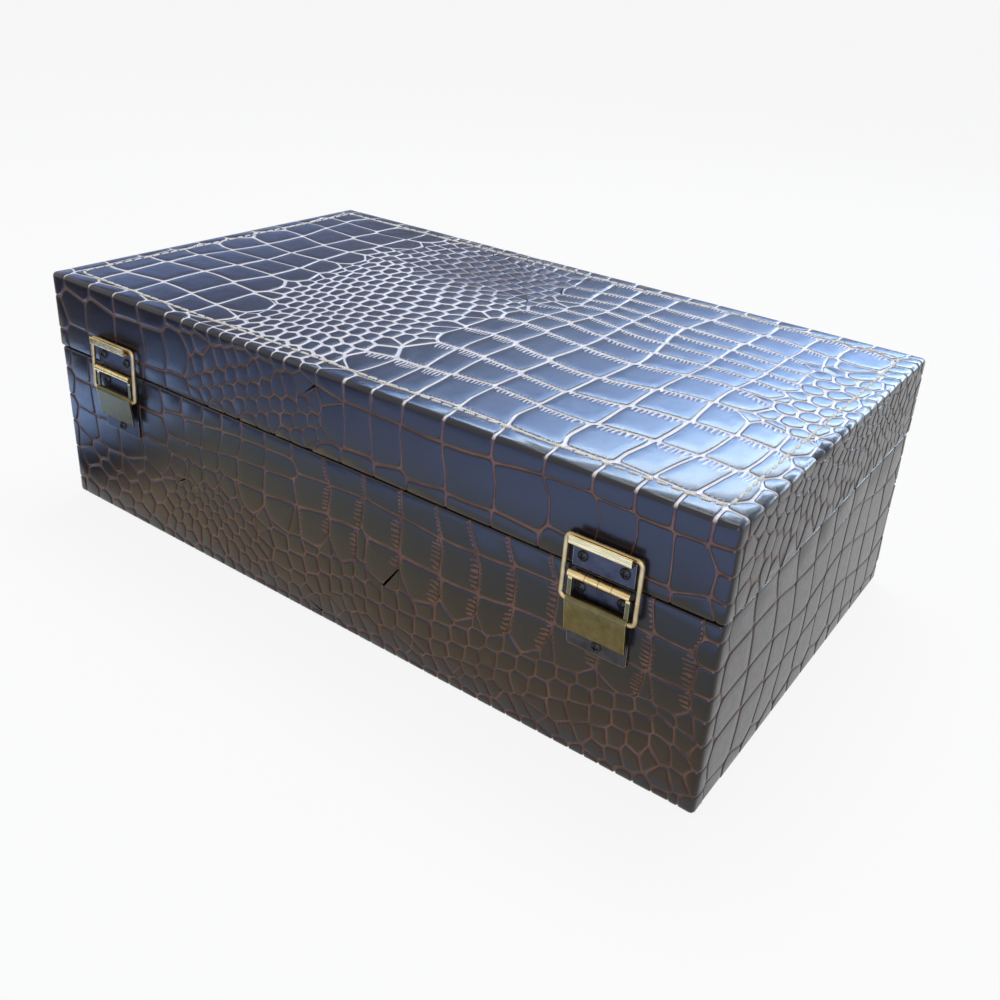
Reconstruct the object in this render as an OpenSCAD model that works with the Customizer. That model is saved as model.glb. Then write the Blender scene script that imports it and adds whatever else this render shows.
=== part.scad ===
// Stationery box: a board box wrapped in embossed leatherette, with a hinged lid and two wire draw latches.
// X runs along the front, the front faces -Y, and Z is up from the surface that the box stands on.

/* [Box] */
// Width of the lid, along the front
box_w = 350; // [200:1:500]
// Depth of the lid, front to back
box_d = 194; // [120:1:350]
// Height of the base's rim above the table
base_h = 79; // [50:1:160]
// Height of the lid
lid_h = 36; // [24:1:80]
// Gap between the rims of the base and the lid
seam_gap = 0.6; // [0.3:0.1:1.5]
// How far the lid stands out past the base on each side
lid_proud = 0.5; // [0:0.1:1]
// Radius of the outer edges and corners
edge_r = 2; // [0.5:0.1:4]

/* [Boards] */
// Thickness of the wall boards
wall_t = 8; // [5:0.5:12]
// Thickness of the bottom board
bottom_t = 5; // [3:0.5:9]
// Thickness of the lid's top board
top_t = 5; // [3:0.5:9]

/* [Covering] */
// Thickness of the leatherette
skin_t = 1; // [0.6:0.1:2]
// Width of the leatherette turned under the bottom
hem_w = 15; // [8:1:30]
// Depth of the leatherette turned in over each rim
lip_h = 9; // [4:0.5:14]
// Thickness of the sheet glued under the bottom
sheet_t = 0.8; // [0.5:0.1:2]
// How far the sheet's edge stays inside the base's edge
sheet_inset = 3; // [1:0.5:7]

/* [Lining] */
// Thickness of the suede panels on the walls
lining_t = 1; // [0.6:0.1:2]
// Thickness of the wadded pads on the floor and inside the lid's top
pad_t = 3; // [1:0.5:6]

/* [Stitching] */
// Distance from the lid's edge to the stitched line
stitch_inset = 9; // [5:0.5:20]
// Width of the stitched line
stitch_w = 1.1; // [0.6:0.1:2]
// How far the thread stands above the leatherette
stitch_h = 0.5; // [0.3:0.1:1]
// Radius of the stitched line at the lid's corners
stitch_r = 5; // [2:0.5:12]

/* [Latches] */
// Distance from the box's end to the middle of a latch
latch_inset = 44.5; // [25:0.5:80]
// Width of the latch's plates and lever
latch_w = 24.2; // [22:0.2:32]
// Thickness of the latch's sheet metal
latch_t = 0.8; // [0.6:0.1:1]
// Height of the base plate, from its foot to its bend
plate_h = 26.6; // [22:0.5:36]
// Height of the two tabs between the base plate and the barrel
tab_rise = 1.75; // [1.5:0.05:2]
// Radius of the base plate's lower corners
plate_corner_r = 1.5; // [0.5:0.1:3]
// Drop from the base's rim to the lever's pin
pivot_drop = 1.2; // [1.2:0.1:3]
// Distance from the base's front to the middle of the lever's pin
pivot_out = 2.9; // [2.8:0.1:3.4]
// Radius of the lever's pin
pin_r = 0.8; // [0.6:0.05:0.9]
// Wall of the knuckles rolled round the pin
knuckle_t = 0.65; // [0.5:0.05:0.8]
// Width of the two middle knuckles, which belong to the base plate
mid_knuckle_w = 5.1; // [4:0.1:7]
// Radial clearance of the lever and the bail on their pins
pin_clear = 0.05; // [0.02:0.01:0.1]
// Side clearance between knuckles
side_clear = 0.2; // [0.1:0.05:0.4]

/* [Levers] */
// Distance from the lever's pin down to the bail's ends
lever_arm = 10.3; // [9.8:0.1:11.5]
// How much further out than the pin the bail's ends lie
lever_offset = 0.1; // [0:0.1:0.3]
// Width of the lever's two side strips
cheek_w = 1.6; // [1.2:0.1:1.8]
// Wall of the roll round the bail's ends
roll_t = 0.7; // [0.5:0.05:0.8]
// Length of the lever's handle below the roll
handle_h = 12; // [8:0.5:18]
// How much closer to the box the handle's foot is than its top
handle_lean = 1.2; // [0.5:0.1:1.4]

/* [Bails] */
// Diameter of the wire
wire_d = 1.8; // [1.4:0.1:2]
// Width of the bail over its wire
bail_w = 31; // [30:0.2:40]
// Radius of the wire's bends, at its middle line
bail_r = 2; // [1.6:0.1:2.4]
// Length of wire held inside the lever's roll at each side
bail_grip = 4; // [2:0.5:8]
// How far the crossbar lies out from the lid's front
crossbar_out = 1.5; // [1.4:0.1:1.7]

/* [Strikes] */
// Gap between the lid's rim and the strike plate
strike_rise = 0.6; // [0.3:0.1:2]
// Height of the strike plate up to its hook's shelf
strike_h = 10.5; // [9.5:0.1:13]
// Depth of the hook's channel, from the lid's front to the flange
channel_d = 3.9; // [3.8:0.1:4.2]
// Height of the hook's flange above its shelf
flange_h = 2.5; // [2:0.1:2.6]
// Gap under the crossbar at rest
crossbar_clear = 0.15; // [0.1:0.05:0.3]

/* [Screws] */
// Radius of the screw heads
head_r = 2.05; // [1.6:0.05:2.2]
// Height of the screw heads
head_h = 1.3; // [0.9:0.1:1.4]
// Radius of the shanks
shank_r = 1; // [0.7:0.1:1.3]
// Length of the shanks, from the head's underside
shank_l = 7; // [4:0.5:9]
// Height of the straight side of the heads, under the dome
head_side = 0.2; // [0.1:0.05:0.4]
// Width of the cross in the heads
cross_w = 0.5; // [0.3:0.1:0.8]
// Length of the cross's slots
cross_l = 2.5; // [1.8:0.1:2.8]
// Depth of the cross's slots
cross_depth = 0.7; // [0.4:0.1:0.8]
// Spacing of the pairs of screws on the latches
latch_screw_gap = 16.4; // [14:0.2:16.4]
// Drop from the lever's pin to the upper screws of the base plate
plate_screw_drop = 5.5; // [5.4:0.1:6]
// Height of the base plate's lower screw above the plate's foot
foot_screw_rise = 3.3; // [2.5:0.1:3.6]
// Height of the strike's screws above the plate's lower edge
strike_screw_rise = 4.5; // [3:0.1:6]

/* [Back hinges] */
// Distance from the box's end to the middle of a hinge
hinge_inset = 60; // [35:1:90]
// Length of a hinge's barrel and leaves
hinge_l = 30; // [20:1:45]
// Height of each leaf, from its bend to its edge
leaf_h = 12; // [9:0.5:18]
// Thickness of the leaves
leaf_t = 1; // [0.7:0.1:1.2]
// Radius of the hinge's pin
hinge_pin_r = 1.1; // [0.8:0.1:1.3]
// Wall of the hinge's knuckles
hinge_wall = 0.9; // [0.7:0.1:1]
// Gap between the barrel and the flat of each leaf
leaf_gap = 1.4; // [1.2:0.1:2]
// Gap between the hinge's barrel and the lid's back
barrel_gap = 0.4; // [0.3:0.1:1]
// Number of knuckles, the outer ones on the base
knuckle_count = 5; // [3:2:7]
// Spacing of the two screws in a leaf
leaf_screw_gap = 18; // [12:1:20]

/* [Hidden] */
$fn = 48;
LEFT = -1;
RIGHT = 1;
eps = 0.01;
LEATHERETTE = [0.16, 0.12, 0.13];
SUEDE = [0.5, 0.38, 0.27];
THREAD = [0.85, 0.82, 0.74];
BRASS = [0.58, 0.49, 0.32];

// Footprints and heights of the base and the lid
base_w = box_w - 2 * lid_proud;
base_d = box_d - 2 * lid_proud;
lid_z = base_h + seam_gap;
lid_top_z = lid_z + lid_h;
// the boards' corners must stay inside the rounded leatherette
round_r = min(edge_r, 2.3 * skin_t);
base_board_w = base_w - 2 * skin_t;
base_board_d = base_d - 2 * skin_t;
base_inner_w = base_board_w - 2 * wall_t;
base_inner_d = base_board_d - 2 * wall_t;
board_z = sheet_t + skin_t;
base_board_top = base_h - skin_t;
floor_z = board_z + bottom_t;
lid_board_w = box_w - 2 * skin_t;
lid_board_d = box_d - 2 * skin_t;
lid_inner_w = lid_board_w - 2 * wall_t;
lid_inner_d = lid_board_d - 2 * wall_t;
lid_board_z = lid_z + skin_t;
ceiling_z = lid_top_z - skin_t - top_t;
base_lining_z = floor_z + pad_t;
base_lining_top = base_h - lip_h;
lid_lining_z = lid_z + lip_h;
lid_lining_top = ceiling_z - pad_t;

// Screws: radius of the sphere that domes their heads
dome_r = (pow(head_r, 2) + pow(head_h - head_side, 2)) / (2 * (head_h - head_side));

// Latch: distances out from the base's front, and heights
latch_x = box_w / 2 - latch_inset;
wire_r = wire_d / 2;
pivot_z = base_h - pivot_drop;
knuckle_r = pin_r + knuckle_t;
bail_out = pivot_out + lever_offset;
bail_z = pivot_z - lever_arm;
roll_r = wire_r + pin_clear + roll_t;
plate_top_z = pivot_z - knuckle_r - tab_rise;
plate_z = plate_top_z - plate_h;
strike_z = lid_z + strike_rise;
shelf_z = strike_z + strike_h;
flange_out = lid_proud + channel_d;
cross_out = lid_proud + crossbar_out;
cross_z = shelf_z + wire_r + crossbar_clear;
bail_l = norm([cross_out - bail_out, cross_z - bail_z]);
bail_lean = atan2(cross_out - bail_out, cross_z - bail_z);
bail_x = bail_w / 2 - wire_r;
bend_r = min(bail_r, bail_x - latch_w / 2 - side_clear);

// Back hinge: distances out from the base's back, and heights
hinge_x = box_w / 2 - hinge_inset;
barrel_r = hinge_pin_r + hinge_wall;
hinge_out = lid_proud + barrel_gap + barrel_r;
hinge_z = base_h + seam_gap / 2;
leaf_rise = barrel_r + leaf_gap;
knuckle_l = hinge_l / knuckle_count;
leaf_screw_z = leaf_rise + leaf_h / 2;

// ---- Shared shapes ----

// A block centred on X and Y, from z0 to z1
module block(w, d, z0, z1) {
    translate([-w / 2, -d / 2, z0]) cube([w, d, z1 - z0]);
}

// A rectangle with rounded corners, centred
module rounded_rect(w, d, r) {
    square([w - 2 * r, d], center = true);
    square([w, d - 2 * r], center = true);
    for (x = [-1, 1], y = [-1, 1]) {
        translate([x * (w / 2 - r), y * (d / 2 - r)]) circle(r);
    }
}

// A straight bar of sheet metal seen from its edge, from p to q, with round ends
module strip(p, q, t) {
    translate(p) circle(d = t);
    translate(q) circle(d = t);
    translate(p) rotate(atan2(q[1] - p[1], q[0] - p[0]))
        translate([0, -t / 2]) square([norm(q - p), t]);
}

// A front or back wall board, or lining, against the inside of a w by d footprint
module long_wall(w, d, t, z0, z1, side) {
    translate([-w / 2, side > 0 ? d / 2 - t : -d / 2, z0]) cube([w, t, z1 - z0]);
}

// An end wall board, or lining, between the long walls
module end_wall(w, d, t, z0, z1, side) {
    translate([side > 0 ? w / 2 - t : -w / 2, -d / 2 + t, z0]) cube([t, d - 2 * t, z1 - z0]);
}

// The leatherette turned in over a rim, inside a w by d opening
module rim_lip(w, d, z0, z1) {
    difference() {
        block(w, d, z0, z1);
        block(w - 2 * skin_t, d - 2 * skin_t, z0 - 1, z1 + 1);
    }
}

// Moves a part to a latch's middle, on the base's front
module at_latch(side) {
    translate([side * latch_x, -base_d / 2, 0]) children();
}

// Extrudes a profile of (distance out from the front, height) along the front
module across_front(w) {
    rotate([90, 0, -90]) linear_extrude(height = w, center = true) children();
}

// Extrudes a profile of (distance out from the back, height) along the back
module across_back(w) {
    rotate([90, 0, 90]) linear_extrude(height = w, center = true) children();
}

// Moves a part to a back hinge's middle, on the base's back
module at_hinge(side) {
    translate([side * hinge_x, base_d / 2, 0]) children();
}

// ---- Screws ----

// A pan-head screw with a cross, its head's underside at the origin and its head towards +Z
module screw() {
    difference() {
        union() {
            rotate_extrude() intersection() {
                square([head_r, head_h]);
                translate([0, head_h - dome_r]) circle(dome_r);
            }
            translate([0, 0, -shank_l]) cylinder(r = shank_r, h = shank_l);
        }
        for (turn = [0, 90]) {
            rotate(turn) translate([-cross_l / 2, -cross_w / 2, head_h - cross_depth])
                cube([cross_l, cross_w, head_h]);
        }
    }
}

// The hole that a screw's shank fills, as deep as the shank and open at the head
module screw_hole() {
    translate([0, 0, -shank_l]) cylinder(r = shank_r, h = shank_l + head_h);
}

// Screw places on a latch's base plate, on its strike, and on the leaves of a back hinge
module at_plate_screws() {
    for (x = [-1, 1]) {
        translate([x * latch_screw_gap / 2, -latch_t, pivot_z - plate_screw_drop])
            rotate([90, 0, 0]) children();
    }
    translate([0, -latch_t, plate_z + foot_screw_rise]) rotate([90, 0, 0]) children();
}

module at_strike_screws() {
    for (x = [-1, 1]) {
        translate([x * latch_screw_gap / 2, -lid_proud - latch_t, strike_z + strike_screw_rise])
            rotate([90, 0, 0]) children();
    }
}

module at_base_leaf_screws() {
    for (x = [-1, 1]) {
        translate([x * leaf_screw_gap / 2, leaf_t, hinge_z - leaf_screw_z]) rotate([-90, 0, 0]) children();
    }
}

module at_lid_leaf_screws() {
    for (x = [-1, 1]) {
        translate([x * leaf_screw_gap / 2, lid_proud + leaf_t, hinge_z + leaf_screw_z])
            rotate([-90, 0, 0]) children();
    }
}

module base_screw_holes() {
    for (side = [LEFT, RIGHT]) {
        at_latch(side) at_plate_screws() screw_hole();
        at_hinge(side) at_base_leaf_screws() screw_hole();
    }
}

module lid_screw_holes() {
    for (side = [LEFT, RIGHT]) {
        at_latch(side) at_strike_screws() screw_hole();
        at_hinge(side) at_lid_leaf_screws() screw_hole();
    }
}

// ---- Base: boards ----

module base_front_panel() {
    color("tan") difference() {
        long_wall(base_board_w, base_board_d, wall_t, board_z, base_board_top, -1);
        base_screw_holes();
    }
}

module base_back_panel() {
    color("tan") difference() {
        long_wall(base_board_w, base_board_d, wall_t, board_z, base_board_top, 1);
        base_screw_holes();
    }
}

module base_left_panel() {
    color("burlywood") end_wall(base_board_w, base_board_d, wall_t, board_z, base_board_top, LEFT);
}

module base_right_panel() {
    color("burlywood") end_wall(base_board_w, base_board_d, wall_t, board_z, base_board_top, RIGHT);
}

module base_bottom_panel() {
    color("wheat") block(base_inner_w, base_inner_d, board_z, floor_z);
}

// ---- Base: covering ----

// One sheet of leatherette round the walls, turned in over the rim and under the bottom
module base_skin() {
    color(LEATHERETTE) difference() {
        union() {
            difference() {
                translate([0, 0, sheet_t]) linear_extrude(height = base_h - sheet_t)
                    rounded_rect(base_w, base_d, round_r);
                block(base_board_w, base_board_d, board_z, base_board_top);
                block(base_inner_w - 2 * skin_t, base_inner_d - 2 * skin_t, base_board_top - 1, base_h + 1);
                block(base_w - 2 * hem_w, base_d - 2 * hem_w, 0, board_z + 1);
            }
            rim_lip(base_inner_w, base_inner_d, base_h - lip_h, base_h);
        }
        base_screw_holes();
    }
}

// Dark sheet glued over the hem: the box rests on it
module base_underside_sheet() {
    color([0.08, 0.08, 0.08]) {
        block(base_w - 2 * sheet_inset, base_d - 2 * sheet_inset, 0, sheet_t);
        block(base_w - 2 * hem_w, base_d - 2 * hem_w, 0, board_z);
    }
}

// ---- Base: lining ----

module base_floor_pad() {
    color(SUEDE) block(base_inner_w, base_inner_d, floor_z, base_lining_z);
}

module base_front_lining() {
    color(SUEDE) long_wall(base_inner_w, base_inner_d, lining_t, base_lining_z, base_lining_top, -1);
}

module base_back_lining() {
    color(SUEDE) long_wall(base_inner_w, base_inner_d, lining_t, base_lining_z, base_lining_top, 1);
}

module base_left_lining() {
    color(SUEDE) end_wall(base_inner_w, base_inner_d, lining_t, base_lining_z, base_lining_top, LEFT);
}

module base_right_lining() {
    color(SUEDE) end_wall(base_inner_w, base_inner_d, lining_t, base_lining_z, base_lining_top, RIGHT);
}

// ---- Lid: boards ----

module lid_front_panel() {
    color("tan") difference() {
        long_wall(lid_board_w, lid_board_d, wall_t, lid_board_z, ceiling_z, -1);
        lid_screw_holes();
    }
}

module lid_back_panel() {
    color("tan") difference() {
        long_wall(lid_board_w, lid_board_d, wall_t, lid_board_z, ceiling_z, 1);
        lid_screw_holes();
    }
}

module lid_left_panel() {
    color("burlywood") end_wall(lid_board_w, lid_board_d, wall_t, lid_board_z, ceiling_z, LEFT);
}

module lid_right_panel() {
    color("burlywood") end_wall(lid_board_w, lid_board_d, wall_t, lid_board_z, ceiling_z, RIGHT);
}

module lid_top_panel() {
    color("wheat") difference() {
        block(lid_board_w, lid_board_d, ceiling_z, ceiling_z + top_t);
        lid_screw_holes();
    }
}

// ---- Lid: covering ----

// The lid's outer form, with its top edges and corners rounded
module lid_form() {
    hull() {
        for (x = [-1, 1], y = [-1, 1]) {
            translate([x * (box_w / 2 - round_r), y * (box_d / 2 - round_r), lid_z]) {
                cylinder(r = round_r, h = eps, $fn = 32);
                translate([0, 0, lid_h - round_r]) sphere(r = round_r, $fn = 32);
            }
        }
    }
}

// One sheet of leatherette over the top and down the four sides, turned in over the rim
module lid_skin() {
    color(LEATHERETTE) difference() {
        union() {
            difference() {
                lid_form();
                block(lid_board_w, lid_board_d, lid_board_z, lid_top_z - skin_t);
                block(lid_inner_w - 2 * skin_t, lid_inner_d - 2 * skin_t, lid_z - 1, lid_board_z + 1);
            }
            rim_lip(lid_inner_w, lid_inner_d, lid_z, lid_z + lip_h);
        }
        lid_screw_holes();
    }
}

// The run of stitches round the lid's top
module lid_stitching() {
    run_w = box_w - 2 * stitch_inset;
    run_d = box_d - 2 * stitch_inset;
    color(THREAD) translate([0, 0, lid_top_z]) linear_extrude(height = stitch_h) difference() {
        rounded_rect(run_w + stitch_w, run_d + stitch_w, stitch_r + stitch_w / 2);
        rounded_rect(run_w - stitch_w, run_d - stitch_w, stitch_r - stitch_w / 2);
    }
}

// ---- Lid: lining ----

module lid_top_pad() {
    color(SUEDE) block(lid_inner_w, lid_inner_d, lid_lining_top, ceiling_z);
}

module lid_front_lining() {
    color(SUEDE) long_wall(lid_inner_w, lid_inner_d, lining_t, lid_lining_z, lid_lining_top, -1);
}

module lid_back_lining() {
    color(SUEDE) long_wall(lid_inner_w, lid_inner_d, lining_t, lid_lining_z, lid_lining_top, 1);
}

module lid_left_lining() {
    color(SUEDE) end_wall(lid_inner_w, lid_inner_d, lining_t, lid_lining_z, lid_lining_top, LEFT);
}

module lid_right_lining() {
    color(SUEDE) end_wall(lid_inner_w, lid_inner_d, lining_t, lid_lining_z, lid_lining_top, RIGHT);
}

// ---- Back hinges ----

// Cuts a barrel's length into knuckles: odd = 0 keeps the outer set, odd = 1 the set between
module knuckle_run(odd) {
    for (i = [odd : 2 : knuckle_count - 1]) {
        play = i == 0 || i == knuckle_count - 1 ? side_clear / 2 : side_clear;
        shift = i == 0 ? -side_clear / 4 : i == knuckle_count - 1 ? side_clear / 4 : 0;
        translate([-hinge_l / 2 + (i + 0.5) * knuckle_l + shift, 0, 0])
            across_back(knuckle_l - play) children();
    }
}

// One leaf: up = -1 hangs down on the base, up = 1 stands on the lid, at a distance out
module hinge_leaf(up, out, odd, bore_r) {
    leaf_z = hinge_z + up * leaf_rise;
    wrap = (barrel_r - leaf_t / 2) * sin(45);
    difference() {
        union() {
            across_back(hinge_l) translate([out, up > 0 ? leaf_z : leaf_z - leaf_h]) square([leaf_t, leaf_h]);
            knuckle_run(odd) {
                translate([hinge_out, hinge_z]) circle(barrel_r);
                strip(
                    [out + leaf_t / 2, leaf_z + up * leaf_t / 2],
                    [hinge_out - wrap, hinge_z + up * wrap],
                    leaf_t
                );
            }
        }
        translate([0, hinge_out, hinge_z]) rotate([0, 90, 0])
            cylinder(r = bore_r, h = hinge_l + 2, center = true);
        if (up > 0) at_lid_leaf_screws() screw_hole();
        if (up < 0) at_base_leaf_screws() screw_hole();
    }
}

module hinge_base_leaf(side) {
    color(BRASS) at_hinge(side) hinge_leaf(-1, 0, 0, hinge_pin_r);
}

module hinge_lid_leaf(side) {
    color(BRASS) at_hinge(side) hinge_leaf(1, lid_proud, 1, hinge_pin_r + pin_clear);
}

module hinge_pin(side) {
    color(BRASS) at_hinge(side) translate([0, hinge_out, hinge_z])
        rotate([0, 90, 0]) cylinder(r = hinge_pin_r, h = hinge_l, center = true);
}

module hinge_base_screws(side) {
    color("black") at_hinge(side) at_base_leaf_screws() screw();
}

module hinge_lid_screws(side) {
    color("black") at_hinge(side) at_lid_leaf_screws() screw();
}

// ---- Latches ----

// Plate screwed to the base, with two tabs at its top rolled round the lever's pin
module latch_plate(side) {
    tab_end = (knuckle_r - latch_t / 2) * sin(45);
    tab_x = (mid_knuckle_w + side_clear) / 2;
    color(BRASS) at_latch(side) difference() {
        union() {
            translate([0, 0, plate_z + plate_h / 2]) rotate([90, 0, 0]) linear_extrude(height = latch_t) {
                rounded_rect(latch_w, plate_h, plate_corner_r);
                translate([-latch_w / 2, 0]) square([latch_w, plate_h / 2]);
            }
            for (x = [-1, 1]) {
                translate([x * tab_x, 0, 0]) across_front(mid_knuckle_w) {
                    translate([pivot_out, pivot_z]) circle(knuckle_r);
                    strip(
                        [latch_t / 2, plate_top_z - latch_t / 2],
                        [pivot_out - tab_end, pivot_z - tab_end],
                        latch_t
                    );
                }
            }
        }
        translate([0, -pivot_out, pivot_z]) rotate([0, 90, 0])
            cylinder(r = pin_r, h = latch_w + 2, center = true);
        at_plate_screws() screw_hole();
    }
}

module latch_plate_screws(side) {
    color("black") at_latch(side) at_plate_screws() screw();
}

module latch_pin(side) {
    color(BRASS) at_latch(side) translate([0, -pivot_out, pivot_z])
        rotate([0, 90, 0]) cylinder(r = pin_r, h = latch_w, center = true);
}

// Lever: outer knuckles on the pin, two side strips round a window, a roll that holds the bail's ends,
// and a handle
module latch_lever(side) {
    outer_knuckle_x = mid_knuckle_w + 1.5 * side_clear;
    outer_knuckle_w = latch_w / 2 - outer_knuckle_x;
    color(BRASS) at_latch(side) difference() {
        union() {
            for (x = [-1, 1]) {
                translate([x * (outer_knuckle_x + outer_knuckle_w / 2), 0, 0]) across_front(outer_knuckle_w)
                    translate([pivot_out, pivot_z]) circle(knuckle_r);
                translate([x * (latch_w - cheek_w) / 2, 0, 0]) across_front(cheek_w)
                    strip(
                        [pivot_out, pivot_z - pin_r - latch_t],
                        [bail_out, bail_z + wire_r + latch_t],
                        latch_t
                    );
            }
            across_front(latch_w) translate([bail_out, bail_z]) circle(roll_r);
            across_front(latch_w) strip(
                [bail_out + roll_r - latch_t / 2, bail_z],
                [bail_out + roll_r - latch_t / 2 - handle_lean, bail_z - handle_h],
                latch_t
            );
        }
        translate([0, -pivot_out, pivot_z]) rotate([0, 90, 0])
            cylinder(r = pin_r + pin_clear, h = latch_w + 2, center = true);
        translate([0, -bail_out, bail_z]) rotate([0, 90, 0])
            cylinder(r = wire_r + pin_clear, h = latch_w + 2, center = true);
    }
}

// One bend of the bail's wire, a quarter turn about +Z starting on +X
module wire_bend() {
    rotate_extrude(angle = 90) translate([bend_r, 0]) circle(wire_r);
}

// Bail: a wire loop from the lever's roll up to the crossbar that sits in the strike's hook
module latch_bail(side) {
    straight_x = bail_x - bend_r;
    grip_x = latch_w / 2 - bail_grip;
    color(BRASS) at_latch(side) translate([0, -bail_out, bail_z]) rotate([90 + bail_lean, 0, 0]) {
        for (s = [-1, 1]) {
            mirror([s < 0 ? 1 : 0, 0, 0]) {
                translate([grip_x, 0, 0]) rotate([0, 90, 0]) cylinder(r = wire_r, h = straight_x - grip_x);
                translate([straight_x, bend_r, 0]) rotate(-90) wire_bend();
                translate([bail_x, bend_r, 0]) rotate([-90, 0, 0])
                    cylinder(r = wire_r, h = bail_l - 2 * bend_r);
                translate([straight_x, bail_l - bend_r, 0]) wire_bend();
            }
        }
        translate([-straight_x, bail_l, 0]) rotate([0, 90, 0]) cylinder(r = wire_r, h = 2 * straight_x);
    }
}

// Strike plate screwed to the lid: its top edge is bent out and up into the hook for the crossbar
module latch_strike(side) {
    plate_mid = lid_proud + latch_t / 2;
    flange_mid = flange_out + latch_t / 2;
    shelf_mid = shelf_z - latch_t / 2;
    color(BRASS) at_latch(side) difference() {
        across_front(latch_w) {
            translate([lid_proud, strike_z]) square([latch_t, strike_h - latch_t / 2]);
            strip([plate_mid, shelf_mid], [flange_mid, shelf_mid], latch_t);
            strip([flange_mid, shelf_mid], [flange_mid, shelf_z + flange_h - latch_t / 2], latch_t);
        }
        at_strike_screws() screw_hole();
    }
}

module latch_strike_screws(side) {
    color("black") at_latch(side) at_strike_screws() screw();
}

// ---- The left and right hinges and latches ----

module hinge_left_base_leaf() { hinge_base_leaf(LEFT); }
module hinge_left_lid_leaf() { hinge_lid_leaf(LEFT); }
module hinge_left_pin() { hinge_pin(LEFT); }
module hinge_left_base_screws() { hinge_base_screws(LEFT); }
module hinge_left_lid_screws() { hinge_lid_screws(LEFT); }
module hinge_right_base_leaf() { hinge_base_leaf(RIGHT); }
module hinge_right_lid_leaf() { hinge_lid_leaf(RIGHT); }
module hinge_right_pin() { hinge_pin(RIGHT); }
module hinge_right_base_screws() { hinge_base_screws(RIGHT); }
module hinge_right_lid_screws() { hinge_lid_screws(RIGHT); }

module latch_left_plate() { latch_plate(LEFT); }
module latch_left_plate_screws() { latch_plate_screws(LEFT); }
module latch_left_pin() { latch_pin(LEFT); }
module latch_left_lever() { latch_lever(LEFT); }
module latch_left_bail() { latch_bail(LEFT); }
module latch_left_strike() { latch_strike(LEFT); }
module latch_left_strike_screws() { latch_strike_screws(LEFT); }
module latch_right_plate() { latch_plate(RIGHT); }
module latch_right_plate_screws() { latch_plate_screws(RIGHT); }
module latch_right_pin() { latch_pin(RIGHT); }
module latch_right_lever() { latch_lever(RIGHT); }
module latch_right_bail() { latch_bail(RIGHT); }
module latch_right_strike() { latch_strike(RIGHT); }
module latch_right_strike_screws() { latch_strike_screws(RIGHT); }

base_front_panel();
base_back_panel();
base_left_panel();
base_right_panel();
base_bottom_panel();
base_skin();
base_underside_sheet();
base_front_lining();
base_back_lining();
base_left_lining();
base_right_lining();
base_floor_pad();
lid_front_panel();
lid_back_panel();
lid_left_panel();
lid_right_panel();
lid_top_panel();
lid_skin();
lid_stitching();
lid_front_lining();
lid_back_lining();
lid_left_lining();
lid_right_lining();
lid_top_pad();
hinge_left_base_leaf();
hinge_left_lid_leaf();
hinge_left_pin();
hinge_left_base_screws();
hinge_left_lid_screws();
hinge_right_base_leaf();
hinge_right_lid_leaf();
hinge_right_pin();
hinge_right_base_screws();
hinge_right_lid_screws();
latch_left_plate();
latch_left_plate_screws();
latch_left_pin();
latch_left_lever();
latch_left_bail();
latch_left_strike();
latch_left_strike_screws();
latch_right_plate();
latch_right_plate_screws();
latch_right_pin();
latch_right_lever();
latch_right_bail();
latch_right_strike();
latch_right_strike_screws();
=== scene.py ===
import math
import random

import bmesh
import bpy
from mathutils import Matrix, Vector, kdtree, noise


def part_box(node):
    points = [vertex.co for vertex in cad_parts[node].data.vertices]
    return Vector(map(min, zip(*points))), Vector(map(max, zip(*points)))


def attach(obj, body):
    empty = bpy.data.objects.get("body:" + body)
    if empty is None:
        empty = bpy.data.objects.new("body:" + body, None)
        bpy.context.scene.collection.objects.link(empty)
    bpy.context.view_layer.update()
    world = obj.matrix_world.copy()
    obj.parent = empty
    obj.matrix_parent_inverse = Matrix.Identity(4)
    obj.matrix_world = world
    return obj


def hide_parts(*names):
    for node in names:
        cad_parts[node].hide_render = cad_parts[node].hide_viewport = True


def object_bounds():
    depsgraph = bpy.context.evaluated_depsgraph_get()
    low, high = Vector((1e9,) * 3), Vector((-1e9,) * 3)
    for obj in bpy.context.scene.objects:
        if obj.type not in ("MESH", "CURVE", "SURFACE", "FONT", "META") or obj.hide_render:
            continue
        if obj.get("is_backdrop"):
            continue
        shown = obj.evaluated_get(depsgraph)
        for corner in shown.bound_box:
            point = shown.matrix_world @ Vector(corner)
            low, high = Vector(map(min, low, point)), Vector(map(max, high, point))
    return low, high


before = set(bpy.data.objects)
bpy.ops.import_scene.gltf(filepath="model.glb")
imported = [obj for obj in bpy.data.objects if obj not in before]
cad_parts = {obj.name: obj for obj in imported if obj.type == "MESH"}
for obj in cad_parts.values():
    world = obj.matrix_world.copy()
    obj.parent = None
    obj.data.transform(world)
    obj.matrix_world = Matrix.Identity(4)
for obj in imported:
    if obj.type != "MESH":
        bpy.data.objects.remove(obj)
cad_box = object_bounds()
mm = 0.001

# ---- Camera ----
# The photograph is taken from the front right, 15 cm above the lid, with its frame shifted a little.

lens = bpy.data.cameras.new("camera")
lens.sensor_width = 36
lens.lens = 37.08
lens.shift_x = -0.0556
lens.shift_y = -0.0891
lens.clip_start = 0.01
camera = bpy.data.objects.new("camera", lens)
bpy.context.scene.collection.objects.link(camera)
camera.matrix_world = Matrix((
    (0.82476, -0.28401, 0.48899, 0.26855),
    (0.56084, 0.30011, -0.77162, -0.35273),
    (0.07240, 0.91064, 0.40680, 0.26727),
    (0, 0, 0, 1),
))
bpy.context.scene.camera = camera
bpy.context.scene.view_settings.view_transform = "Standard"

# ---- Floor and light ----
# White board to stand on, a softbox straight above the lid, a weaker one in front, and a blue card behind
# that the lid's gloss shows. The camera sees the surroundings as white.


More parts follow.
